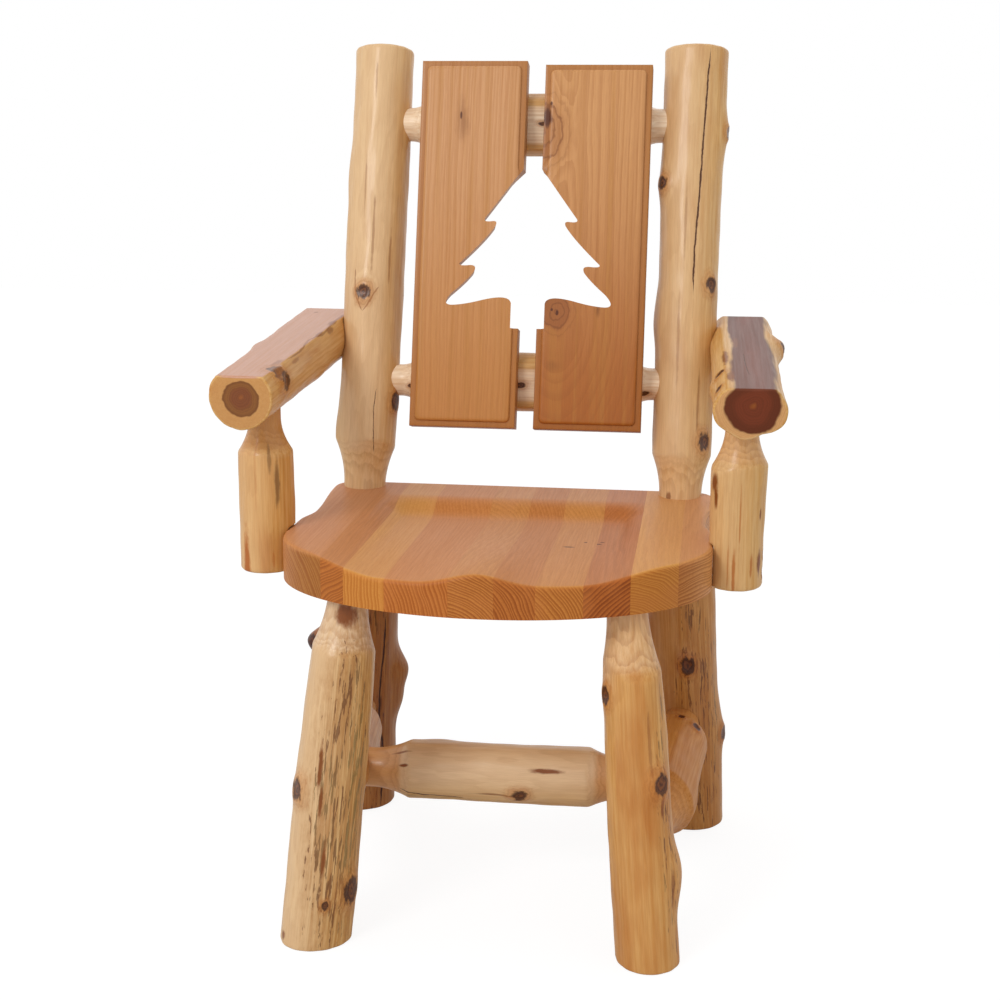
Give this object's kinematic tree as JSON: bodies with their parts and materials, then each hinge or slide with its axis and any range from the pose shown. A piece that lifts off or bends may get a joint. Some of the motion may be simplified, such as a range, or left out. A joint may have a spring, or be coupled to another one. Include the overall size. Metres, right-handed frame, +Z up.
{
  "type": "log armchair",
  "caption": "Rustic armchair of peeled pine logs with a saddled board seat, flat-topped arms and a reclined two-slat back with a pine tree cut-out.",
  "frame": {"origin": "on the floor under the middle of the chair's overall box", "axes": "+X to the right as seen from the front, +Y to the back, +Z up"},
  "size_m": [0.6517, 0.615, 1.0377],
  "materials": {
    "peeled_log": "satin lacquer over peeled, knotted pine",
    "slat_wood": "satin lacquer over planed pine with upright grain",
    "pink_board": "satin lacquer over sanded pine, pinkish boards",
    "orange_board": "satin lacquer over sanded pine, orange boards",
    "pale_board": "satin lacquer over sanded pine, pale boards",
    "zinc_steel": "zinc-plated"
  },
  "bodies": {
    "root": {"seat_board_1": "pink_board", "seat_board_2": "orange_board", "seat_board_3": "pale_board", "seat_board_4": "orange_board", "seat_board_5": "pink_board", "seat_board_6": "pink_board", "seat_board_7": "pink_board", "seat_board_8": "orange_board", "seat_board_9": "pale_board", "seat_board_10": "pale_board", "front_leg_left": "peeled_log", "front_leg_right": "peeled_log", "rear_leg_left": "peeled_log", "rear_leg_right": "peeled_log", "side_stretcher_left": "peeled_log", "side_stretcher_right": "peeled_log", "cross_stretcher": "peeled_log", "back_post_left": "peeled_log", "back_post_right": "peeled_log", "upper_back_rail": "peeled_log", "lower_back_rail": "peeled_log", "arm_post_left": "peeled_log", "arm_post_right": "peeled_log", "arm_left": "peeled_log", "arm_right": "peeled_log", "back_slat_left": "slat_wood", "back_slat_right": "slat_wood", "slat_screw_1": "zinc_steel", "slat_screw_2": "zinc_steel", "slat_screw_3": "zinc_steel", "slat_screw_4": "zinc_steel", "slat_screw_5": "zinc_steel", "slat_screw_6": "zinc_steel", "slat_screw_7": "zinc_steel", "slat_screw_8": "zinc_steel", "arm_post_lag_1": "zinc_steel", "arm_post_lag_2": "zinc_steel", "arm_post_lag_3": "zinc_steel", "arm_post_lag_4": "zinc_steel", "arm_lag_left": "zinc_steel", "arm_lag_right": "zinc_steel"}
  },
  "joints": []
}
